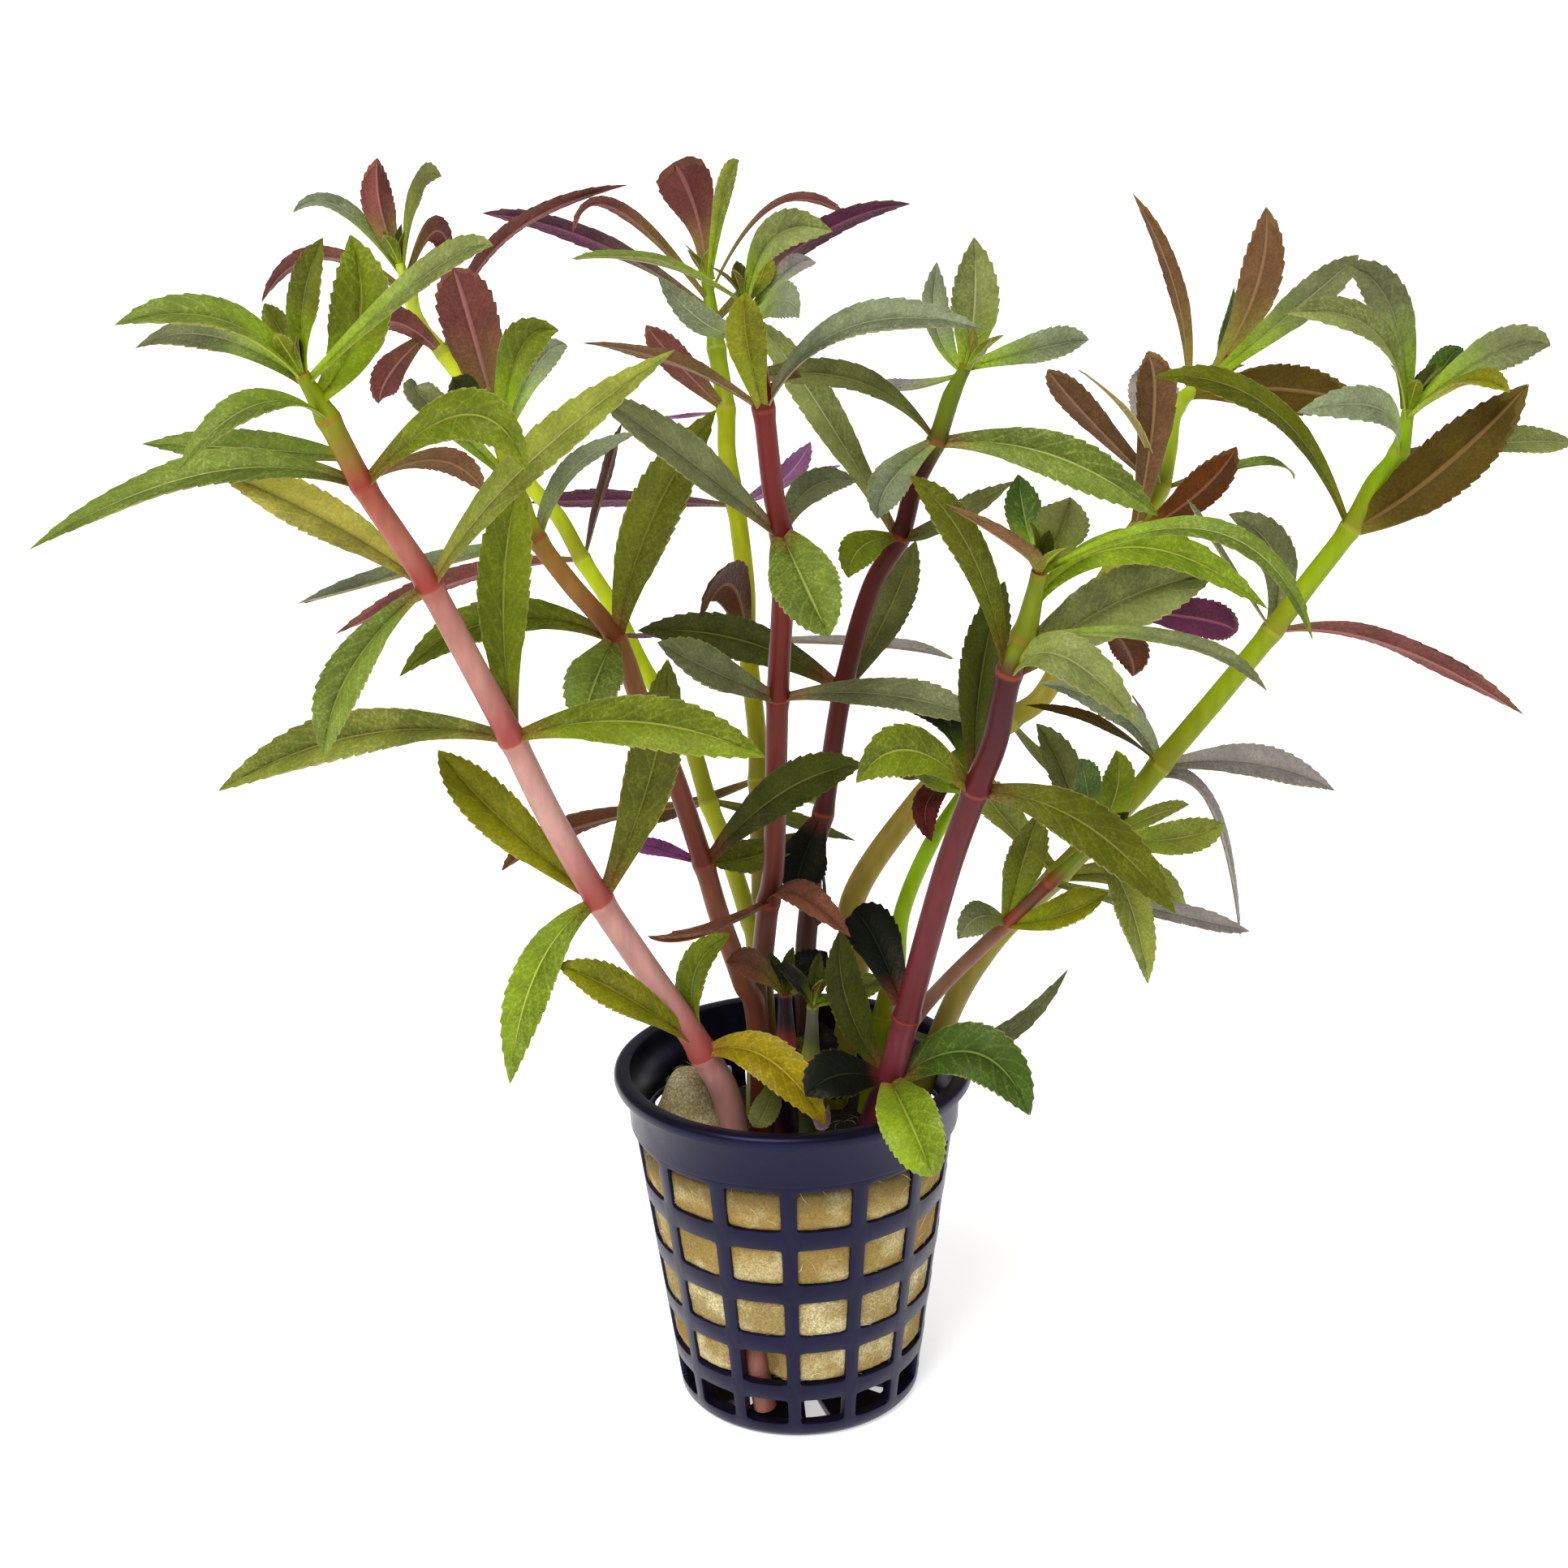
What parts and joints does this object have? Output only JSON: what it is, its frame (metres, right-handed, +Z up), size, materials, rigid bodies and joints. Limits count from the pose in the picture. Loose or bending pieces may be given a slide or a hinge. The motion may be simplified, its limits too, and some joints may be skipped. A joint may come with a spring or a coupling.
{
  "type": "potted marshweed bunch",
  "caption": "Bunch of upright red and green stem cuttings with toothed lance-shaped leaves, rooted in mineral wool inside a small round net pot with a lipped rim.",
  "frame": {"origin": "the middle of the pot's flat base, where it stands", "axes": "+Z up, +X to the right as seen from the front, -Y towards the front"},
  "size_m": [0.1941, 0.1234, 0.177],
  "materials": {
    "pot": "moulded black plastic with a violet sheen",
    "wool": "damp beige mineral fibre",
    "red_stem": "smooth living stem, pink to dark red",
    "green_stem": "smooth living stem, yellow-green to olive",
    "green_leaf": "green upper leaf side with a pale midrib",
    "bronze_leaf": "purple-brown under leaf side with a pale midrib"
  },
  "bodies": {
    "root": {"net_pot": "pot", "rock_wool": "wool", "stem_left_front": "red_stem", "stem_left_middle": "red_stem", "stem_left_back": "green_stem", "stem_centre_back": "green_stem", "stem_centre_front": "red_stem", "stem_centre_right": "red_stem", "stem_right_front": "red_stem", "stem_right_far": "green_stem", "stem_right_back": "green_stem", "stem_right_inner": "green_stem", "stem_side_shoot": "red_stem", "stem_short_left": "red_stem", "stem_short_right": "green_stem", "leaf_left_front_1": "green_leaf", "leaf_left_front_2": "green_leaf", "leaf_left_front_3": "green_leaf", "leaf_left_front_4": "green_leaf", "leaf_left_front_5": "green_leaf", "leaf_left_front_6": "green_leaf", "leaf_left_front_7": "green_leaf", "leaf_left_front_8": "green_leaf", "leaf_left_front_9": "green_leaf", "leaf_left_front_10": "green_leaf", "leaf_left_front_11": "green_leaf", "leaf_left_front_12": "green_leaf", "leaf_left_front_13": "green_leaf", "leaf_left_middle_1": "green_leaf", "leaf_left_middle_2": "green_leaf", "leaf_left_middle_3": "green_leaf", "leaf_left_back_1": "bronze_leaf", "leaf_left_back_2": "bronze_leaf", "leaf_left_back_3": "bronze_leaf", "leaf_centre_back_1": "green_leaf", "leaf_centre_front_1": "green_leaf", "leaf_centre_front_2": "green_leaf", "leaf_centre_front_3": "green_leaf", "leaf_centre_front_4": "green_leaf", "leaf_centre_right_1": "green_leaf", "leaf_centre_right_2": "green_leaf", "leaf_centre_right_3": "green_leaf", "leaf_centre_right_4": "green_leaf", "leaf_right_front_1": "green_leaf", "leaf_right_front_2": "green_leaf", "leaf_right_front_3": "green_leaf", "leaf_right_front_4": "green_leaf", "leaf_right_front_5": "green_leaf", "leaf_right_front_6": "green_leaf", "leaf_right_front_7": "green_leaf", "leaf_right_far_1": "green_leaf", "leaf_right_far_2": "green_leaf", "leaf_right_far_3": "green_leaf", "leaf_right_far_4": "green_leaf", "leaf_right_far_5": "bronze_leaf", "leaf_right_far_6": "green_leaf", "leaf_right_back_1": "green_leaf", "leaf_right_back_2": "bronze_leaf", "leaf_right_back_3": "bronze_leaf", "leaf_side_shoot_1": "green_leaf"}
  },
  "joints": []
}
